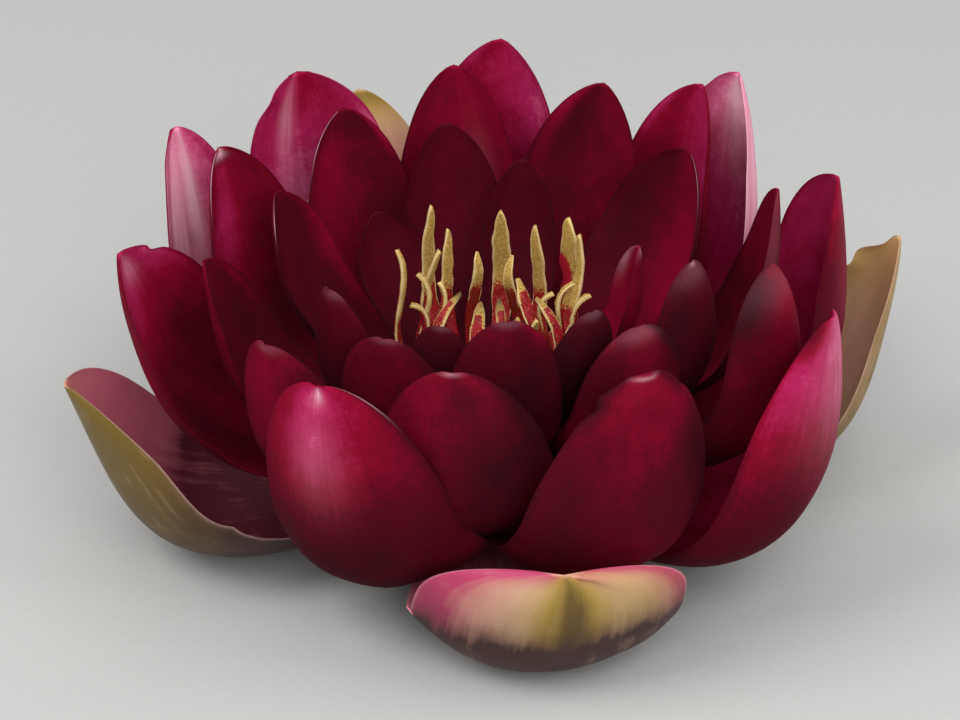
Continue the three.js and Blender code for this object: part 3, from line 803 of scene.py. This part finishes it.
def petal_material():
    """Velvety petal: tone from an attribute, fine veins, mottling, pale streaks and painted sheen.
    """
    g = Graph("petal_velvet")
    t = g.separate(g.attribute("blade").outputs["Vector"])[1]
    veins_at = g.attribute("veins").outputs["Vector"]
    tint = g.attribute("tint")
    tone, pale, bloom = g.separate(tint.outputs["Color"])
    where = g.add("ShaderNodeTexCoord").outputs["Object"]
    veins = g.noise(veins_at, 1.0, 3.0, 0.6)
    blotch = g.noise(where, 260.0, 2.0)
    mottle = g.noise(where, 1100.0, 3.0, 0.6)
    grain = g.noise(where, 5200.0, 1.0)
    value = g.vary(tone, veins, 0.12)
    value = g.vary(value, blotch, 0.18)
    value = g.vary(value, mottle, 0.14)
    value = g.vary(value, grain, 0.14, True)
    colour = g.ramp(value, PETAL_TONES)
    # Pale white-pink streaks: partly the petal's own pale colour and partly painted highlight
    streaks = g.math("MULTIPLY", pale, g.times_plus(veins, 1.2, 0.35), True)
    colour = g.mix(streaks, colour, PALE_PINK)
    # A greyish painted sheen on the tips and margins
    dust_and_sheen = g.math("MULTIPLY", bloom, g.times_plus(grain, 0.8, 0.5), True)
    colour = g.mix(dust_and_sheen, colour, SHEEN_MAUVE)
    # A thin pale rim along the margin
    rim = g.ramp(g.math("ABSOLUTE", t), [(0.955, 0.0), (0.985, 1.0)])
    broken = g.math("MULTIPLY", tint.outputs["Alpha"], g.math("ADD", veins, 0.35))
    colour = g.mix(g.math("MULTIPLY", rim, broken, True), colour, PALE_PINK)
    rough = g.times_plus(blotch, 0.16, 0.52)
    normal = g.bump(veins, 0.35, 0.00012)
    normal = g.bump(grain, 0.30, 0.00005, normal)
    return g.finish(
        colour, rough, normal, Sheen_Weight=0.01, Sheen_Roughness=0.35,
        Sheen_Tint=(1.0, 0.5, 0.7, 1), Specular_IOR_Level=0.01,
    )


TAN = (0.840, 0.530, 0.330)
ROSE = (0.560, 0.045, 0.140)
BLUSH = (0.920, 0.220, 0.320)
OCHRE = (0.560, 0.360, 0.060)
OLIVE = (0.170, 0.105, 0.012)
BROWN = (0.042, 0.011, 0.009)
WINE = (0.100, 0.010, 0.022)


def sepal_material():
    """Leathery sepal: rose, ochre, olive and dark painted shade laid on by an attribute; fine
    ribs.
    """
    g = Graph("sepal_skin")
    _, t, face = g.separate(g.attribute("blade").outputs["Vector"])
    veins = g.noise(g.attribute("veins").outputs["Vector"], 1.0, 3.0, 0.6)
    tint = g.attribute("tint")
    rose, ochre, brown_and_shade = g.separate(tint.outputs["Color"])
    inside = g.math("ADD", face, 0.0, True)
    # The inner faces take a lighter pink: partly their own colour and partly painted light for
    # faces in the flower's shade
    rose_paint = g.mix(inside, ROSE, BLUSH)
    # Dark paint on the outer faces and wine on the inner faces: mostly painted shade at the foot
    # and in the creases
    brown_and_shade_paint = g.mix(inside, BROWN, WINE)
    where = g.add("ShaderNodeTexCoord").outputs["Object"]
    blotch = g.noise(where, 190.0, 3.0)
    grain = g.noise(where, 3800.0, 1.0)
    uneven = g.math("ADD", g.math("MULTIPLY", blotch, 0.7), g.math("MULTIPLY", veins, 0.9))
    colour = TAN
    olive = tint.outputs["Alpha"]
    for mask, paint in ((rose, rose_paint), (ochre, OCHRE), (olive, OLIVE), (brown_and_shade, brown_and_shade_paint)):
        share = g.math("MULTIPLY", mask, g.math("ADD", uneven, 0.25), True)
        colour = g.mix(share, colour, paint)
    fine = g.math("ADD", g.math("MULTIPLY", veins, 0.7), g.math("MULTIPLY", grain, 0.3))
    shade = g.ramp(fine, [(0.3, 0.80), (0.7, 1.0)])
    colour = g.mix(1.0, colour, shade, "MULTIPLY")
    rim = g.ramp(g.math("ABSOLUTE", t), [(0.97, 0.0), (0.99, 0.3)])
    colour = g.mix(rim, colour, g.mix(0.5, colour, PALE_PINK))
    normal = g.bump(veins, 0.45, 0.00015)
    normal = g.bump(grain, 0.25, 0.00006, normal)
    rough = g.times_plus(blotch, 0.2, 0.36)
    return g.finish(colour, rough, normal, Specular_IOR_Level=0.35)


POLLEN = (0.640, 0.420, 0.110)
POLLEN_PALE = (0.820, 0.620, 0.300)
POLLEN_DEEP = (0.330, 0.170, 0.030)
FILAMENT = (0.480, 0.008, 0.018)
FILAMENT_DEEP = (0.110, 0.003, 0.007)
HEART_RED = (0.400, 0.005, 0.025)
CRUST = (0.030, 0.014, 0.012)


def stamen_material():
    """Stamen: red filament, golden anther with grains of pollen, some with a red heart."""
    g = Graph("stamen_skin")
    tint = g.attribute("tint")
    gold, heart, crust = g.separate(tint.outputs["Color"])
    t = g.separate(g.attribute("blade").outputs["Vector"])[1]
    where = g.add("ShaderNodeTexCoord").outputs["Object"]
    grain = g.noise(where, 4200.0, 2.0, 0.6)
    blotch = g.noise(where, 900.0, 2.0)
    stem = g.mix(blotch, FILAMENT_DEEP, FILAMENT)
    stem = g.mix(g.ramp(grain, [(0.63, 0.0), (0.68, 0.8)]), stem, POLLEN)
    dust_and_sheen = g.mix(g.ramp(grain, [(0.36, 0.0), (0.58, 1.0)]), POLLEN_DEEP, POLLEN)
    pale_edge = g.ramp(g.math("ABSOLUTE", t), [(0.7, 0.0), (0.95, 0.8)])
    dust_and_sheen = g.mix(pale_edge, dust_and_sheen, POLLEN_PALE)
    edge = g.vary(gold, grain, 1.3)
    colour = g.mix(g.ramp(edge, [(0.42, 0.0), (0.58, 1.0)]), stem, dust_and_sheen)
    heart = g.vary(heart, blotch, 0.4)
    colour = g.mix(g.ramp(heart, [(0.45, 0.0), (0.6, 1.0)]), colour, HEART_RED)
    colour = g.mix(g.math("MULTIPLY", crust, g.math("ADD", blotch, 0.5), True), colour, CRUST)
    rough = g.times_plus(gold, 0.35, 0.45)
    normal = g.bump(grain, 0.6, 0.00016)
    return g.finish(colour, rough, normal, Specular_IOR_Level=0.25)


STALK_GREEN = (0.110, 0.075, 0.025)
STALK_RED = (0.130, 0.018, 0.018)
PITH = (0.420, 0.400, 0.190)
OVARY_CREAM = (0.420, 0.340, 0.110)
STIGMA_GOLD = (0.500, 0.330, 0.060)


def darker(colour, share):
    return tuple(share * part for part in colour)


def ovary_material():
    """Stalk skin, its cut face, the ovary's wall and the stigma, told apart by an attribute."""
    g = Graph("ovary_skin")
    cut, stigma, pit = g.separate(g.attribute("tint").outputs["Color"])
    where = g.add("ShaderNodeTexCoord").outputs["Object"]
    height = g.separate(where)[2]
    blotch = g.noise(where, 420.0, 3.0)
    grain = g.noise(where, 3000.0, 2.0)
    skin = g.mix(g.ramp(blotch, [(0.4, 0.0), (0.62, 1.0)]), STALK_GREEN, STALK_RED)
    share = g.math("MULTIPLY", height, 1 / (OVARY_TOP * MM))
    colour = g.mix(g.ramp(share, [(0.16, 0.0), (0.3, 1.0)]), skin, OVARY_CREAM)
    colour = g.mix(cut, colour, g.mix(grain, darker(PITH, 0.7), PITH))
    colour = g.mix(stigma, colour, g.mix(blotch, darker(STIGMA_GOLD, 0.55), STIGMA_GOLD))
    # Painted shade in the pits of the air canals
    colour = g.mix(g.math("MULTIPLY", pit, 0.9, True), colour, BROWN)
    normal = g.bump(blotch, 0.4, 0.0002)
    normal = g.bump(grain, 0.4, 0.00008, normal)
    rough = g.times_plus(grain, 0.3, 0.4)
    return g.finish(colour, rough, normal, Specular_IOR_Level=0.3)


petal_velvet = petal_material()
sepal_skin = sepal_material()
stamen_skin = stamen_material()
ovary_skin = ovary_material()


# Painted shade: how much darker the foot of a petal is than its tip, on its inner and its outer
# face, and how fast that fades. On the outer face it is the shade under the flower; on the inner
# face it is partly the petal's own darker foot and partly painted shade deep in the cup.
INNER_FADE = 0.22
OUTER_FADE = 0.50
FADE_POWER = 1.3
# Painted shade along the margins, which keeps them from catching the lamps: how much darker a
# petal is there, where that starts and how soon it is full
MARGIN_FADE = 0.12
MARGIN_START = 0.93
MARGIN_BAND = 0.05
# Scale of the vein pattern across and along a blade, and its shift from blade to blade
VEINS_ACROSS = 16
VEINS_PER_MM = 0.045
VEINS_SHIFT = 3.7


def petal_tint(blade, u, t, face):
    """Tone with its painted highlights and painted shade, pale streaks, painted sheen and rim of a
    petal.
    """
    inner_tone, outer_tone = blade["tone"]
    tone = np.where(face >= 0, inner_tone, outer_tone)
    # Painted shade towards the foot, painted highlights and painted shade from the marks, and
    # painted shade along the margins
    tone = tone - np.where(face >= 0, INNER_FADE, OUTER_FADE) * (1 - u) ** FADE_POWER
    tone += patches(blade.get("marks", []), u, t, face)
    tone -= MARGIN_FADE * np.clip((np.abs(t) - MARGIN_START) / MARGIN_BAND, 0, 1)
    pale = patches(blade.get("pale", []), u, t, face)
    bloom = patches(blade.get("bloom", []), u, t, face)
    rim = np.zeros_like(u)
    for at, side, reach, amount in blade.get("rim", []):
        rim += amount * hill(u, at, reach) * (np.sign(t) == side)
    return np.clip(np.stack([tone, pale, bloom, rim], -1), 0, 1)


def sepal_tint(blade, u, t, face):
    """The shares of a sepal's four paints over its tan at each point, one of them painted shade.
    """
    paints = ("pink", "yellow", "brown_and_shade", "olive")
    masks = [patches(blade[paint], u, t, face) for paint in paints]
    return np.clip(np.stack(masks, -1), 0, 1)


def blade_piece(name, number):
    kind = "sepal" if name.startswith("sepal") else name[: -len("_01")]
    blade = {**ALWAYS, **KINDS[kind], **BLADES[name], **LOOKS[name]}
    rng = np.random.default_rng(BLADE_SEED + number)
    vertices, faces, coords, length = blade_arrays(blade, PETAL_ROWS, PETAL_COLUMNS, rng)
    u, t, face = coords.T
    if kind == "sepal":
        tint, material = sepal_tint(blade, u, t, face), sepal_skin
    else:
        tint, material = petal_tint(blade, u, t, face), petal_velvet
    shift = np.full_like(u, number * VEINS_SHIFT) + face
    veins = np.stack([t * VEINS_ACROSS, u * length * VEINS_PER_MM, shift], -1)
    attributes = {"blade": coords, "veins": veins, "tint": tint}
    new_piece(f"blade_{name}", vertices, faces, attributes, material, [name])


for number, name in enumerate(BLADES):
    blade_piece(name, number)

# How a stamen looks: gold, where its pollen starts on the inner face, as a share of its length,
# or GOLD_START where no row says, then any red heart or dark crust at the tip
GOLD_START = 0.6
STAMEN_LOOKS = {
    1: dict(gold=0.45), 2: dict(gold=0.42, heart=1.0), 3: dict(gold=0.5), 4: dict(gold=0.7),
    5: dict(gold=0.45), 6: dict(gold=0.7), 7: dict(gold=0.5), 8: dict(gold=0.5), 9: dict(gold=0.6),
    10: dict(gold=0.5), 14: dict(gold=0.7, crust=0.8), 15: dict(gold=0.8, crust=0.5),
    16: dict(gold=0.75, crust=0.8), 19: dict(gold=0.85), 20: dict(gold=0.75, crust=0.4),
}


def stamen_piece(number, row):
    """A stamen, with its pollen, red heart and dark crust on its points."""
    keys = ("turn", "reach", "height", "width", "end", "foot", "start", "lead")
    looks = STAMEN_LOOKS.get(number, {})
    blade = {**ALWAYS, **KINDS["stamen"], **STAMEN_RELIEF, **dict(zip(keys, row))}
    rng = np.random.default_rng(STAMEN_SEED + number)
    vertices, faces, coords, _ = blade_arrays(blade, STAMEN_ROWS, STAMEN_COLUMNS, rng)
    u, t, face = coords.T
    start = looks.get("gold", GOLD_START)
    gold = np.clip((u - start) / 0.2 + 0.5, 0, 1)
    # Below its tip, the outside has pollen near its margins only
    outside = (face < 0) & (u < 0.9)
    gold = np.where(outside, gold * np.clip((np.abs(t) - 0.45) / 0.3, 0, 1), gold)
    margin = np.clip((np.abs(t) - 0.86) / 0.1, 0, 1)
    gold = np.maximum(gold, margin * np.clip((u - start + 0.3) / 0.15, 0, 1))
    heart = looks.get("heart", 0) * hill(u, 0.62, 0.17) * hill(t, 0.6, 1.0) * (face >= 0)
    crust = looks.get("crust", 0) * hill(u, 1, 0.1)
    tint = np.stack([gold, heart, crust, np.ones_like(u)], -1)
    attributes = {"blade": coords, "tint": tint}
    nodes = [f"stamen_{number:02d}"]
    new_piece(f"anther_{number:02d}", vertices, faces, attributes, stamen_skin, nodes)


for number, row in enumerate(STAMENS, 1):
    stamen_piece(number, row)


# Ovary, stigma and stalk. The knob's height is a share of the dish's depth and its spread a
# share of the stigma's radius.
STIGMA_RAYS = 18
RAY_HEIGHT = 0.55
RIM_HEIGHT = 0.8
RIM_OVERHANG = 0.4
RIM_BEVEL = 0.2
KNOB_HEIGHT = 0.9
KNOB_SPREAD = 0.28
CUT_BEVEL = 0.25
# Air canals in the cut face: angle, distance from the axis, radius
CANALS = [(90 * k, 1.5, 1.0) for k in range(4)]
CANALS += [(22.5 + 45 * k, 3.4, 0.42) for k in range(8)]
CANAL_DEPTH = 2.2
CANAL_EDGE = 0.25

CUT, STALK, WALL, RIM, DISH = range(5)


def ovary_piece():
    """A turned form: cut face with its air canals, stalk, wall and the rayed stigma dish."""
    edge = STALK_RADIUS - CUT_BEVEL
    wall = np.linspace(OVARY_BOTTOM, OVARY_TOP, 30)
    rings = [(CUT, edge * k / 40, 0) for k in range(1, 41)]
    rings += [(STALK, STALK_RADIUS, z) for z in (CUT_BEVEL, 1.2, 2.2, NECK_HEIGHT)]
    rings += [(WALL, float(attachment_radius(z)) - ATTACHMENT_GAP, z) for z in wall]
    rings += [
        (RIM, STIGMA_RADIUS + RIM_OVERHANG, OVARY_TOP + RIM_HEIGHT - RIM_BEVEL),
        (RIM, STIGMA_RADIUS, OVARY_TOP + RIM_HEIGHT),
    ]
    rings += [(DISH, STIGMA_RADIUS * (1 - k / 30), None) for k in range(1, 30)]
    angle = np.linspace(0, 2 * math.pi, OVARY_SEGMENTS, endpoint=False)
    rng = np.random.default_rng(OVARY_SEED)
    vertices, tints = [], []

    def dish(radius):
        share = radius / STIGMA_RADIUS
        knob = KNOB_HEIGHT * STIGMA_DISH * hill(share, 0, KNOB_SPREAD)
        return OVARY_TOP + RIM_HEIGHT - STIGMA_DISH * (1 - share**2) + knob

    for kind, radius, height in rings:
        r = np.full_like(angle, radius)
        pit = np.zeros_like(angle)
        if kind == CUT:
            for turn, away, size in CANALS:
                dx = radius * np.cos(angle) - away * math.cos(math.radians(turn))
                dy = radius * np.sin(angle) - away * math.sin(math.radians(turn))
                depth = np.clip((size - np.hypot(dx, dy)) / CANAL_EDGE, 0, 1)
                pit = np.maximum(pit, depth)
            z = CANAL_DEPTH * pit
        elif kind == DISH:
            share = radius / STIGMA_RADIUS
            ray = np.cos(STIGMA_RAYS / 2 * angle) ** 2
            z = dish(radius) + RAY_HEIGHT * ray * np.sin(math.pi * min(1, share * 1.05)) ** 0.6
        else:
            r = r + 0.10 * waves(rng, angle / (2 * math.pi), 5, 3) * (kind == STALK)
            z = np.full_like(angle, height)
        vertices.append(np.stack([r * np.cos(angle), r * np.sin(angle), z], -1))
        tint = np.zeros((OVARY_SEGMENTS, 4))
        tint[:, 0], tint[:, 1], tint[:, 2], tint[:, 3] = kind == CUT, kind >= RIM, pit, 1
        tints.append(tint)
    count = len(vertices)
    ends = np.array([[0, 0, 0], [0, 0, float(dish(0))]])
    vertices = np.concatenate([np.concatenate(vertices), ends])
    tints = np.concatenate([np.concatenate(tints), [[1, 0, 0, 1], [0, 1, 0, 1]]])
    faces = []
    n = OVARY_SEGMENTS
    for j in range(n):
        k = (j + 1) % n
        faces.append((count * n, k, j))
        faces.append((count * n + 1, (count - 1) * n + j, (count - 1) * n + k))
        for i in range(count - 1):
            faces.append((i * n + j, i * n + k, (i + 1) * n + k, (i + 1) * n + j))
    new_piece(
        "ovary_stigma_and_stalk", vertices, faces, {"tint": tints}, ovary_skin,
        ["ovary_and_stalk"],
    )


ovary_piece()


# Floor, light and camera, in metres
FLOOR_HALF = 3
CAMERA_PLACE = (-0.00155, -0.37053, 0.25621)
CAMERA_TILT = 58
CAMERA_LENS = 108.84
SENSOR_WIDTH = 36
CLIP_START = 0.01
SKY = (0.86, 0.88, 0.90, 1)
SKY_STRENGTH = 0.55
# Lights: name, place, height of the point they face, size, watts, colour
LIGHTS = [
    ("right", (0.45, -0.05, 0.65), 0.02, 0.4, 1.2, (1.0, 0.99, 0.97)),
    ("left", (-0.45, -0.18, 0.65), 0.02, 0.4, 2.8, (1.0, 0.99, 0.98)),
    ("top", (0.0, 0.05, 0.80), 0.03, 0.5, 0.8, (1.0, 1.0, 1.0)),
    ("front", (0.15, -0.55, 0.50), 0.03, 0.6, 3.5, (1.0, 1.0, 1.0)),
]

floor_mesh = bpy.data.meshes.new("floor")
corners = [(-1, -1), (1, -1), (1, 1), (-1, 1)]
corners = [(FLOOR_HALF * x, FLOOR_HALF * y, 0) for x, y in corners]
floor_mesh.from_pydata(corners, [], [(0, 1, 2, 3)])
floor = bpy.data.objects.new("floor", floor_mesh)
bpy.context.scene.collection.objects.link(floor)


def floor_material():
    g = Graph("floor_paper")
    speck = g.noise(g.add("ShaderNodeTexCoord").outputs["Object"], 900.0, 2.0)
    colour = g.mix(speck, (0.44, 0.44, 0.43), (0.48, 0.48, 0.47))
    return g.finish(colour, 0.8, g.bump(speck, 0.1, 0.0001))


floor_mesh.materials.append(floor_material())


def area_light(name, place, height, size, power, colour):
    """An area light turned towards a point on the flower's axis."""
    data = bpy.data.lights.new(name, "AREA")
    data.size, data.energy, data.color = size, power, colour
    light = bpy.data.objects.new(name, data)
    light.location = place
    direction = np.subtract((0, 0, height), place)
    flat = math.hypot(direction[0], direction[1])
    heading = math.atan2(direction[1], direction[0]) - math.pi / 2
    light.rotation_euler = (math.atan2(flat, -direction[2]), 0, heading)
    bpy.context.scene.collection.objects.link(light)


for row in LIGHTS:
    area_light(*row)

world = bpy.data.worlds.new("studio")
world.use_nodes = True
background = world.node_tree.nodes["Background"]
background.inputs["Color"].default_value = SKY
background.inputs["Strength"].default_value = SKY_STRENGTH
bpy.context.scene.world = world
bpy.context.scene.view_settings.view_transform = "Standard"

camera_data = bpy.data.cameras.new("camera")
camera_data.lens = CAMERA_LENS
camera_data.sensor_width = SENSOR_WIDTH
camera_data.clip_start = CLIP_START
camera = bpy.data.objects.new("camera", camera_data)
camera.location = CAMERA_PLACE
camera.rotation_euler = (math.radians(CAMERA_TILT), 0, 0)
bpy.context.scene.collection.objects.link(camera)
bpy.context.scene.camera = camera
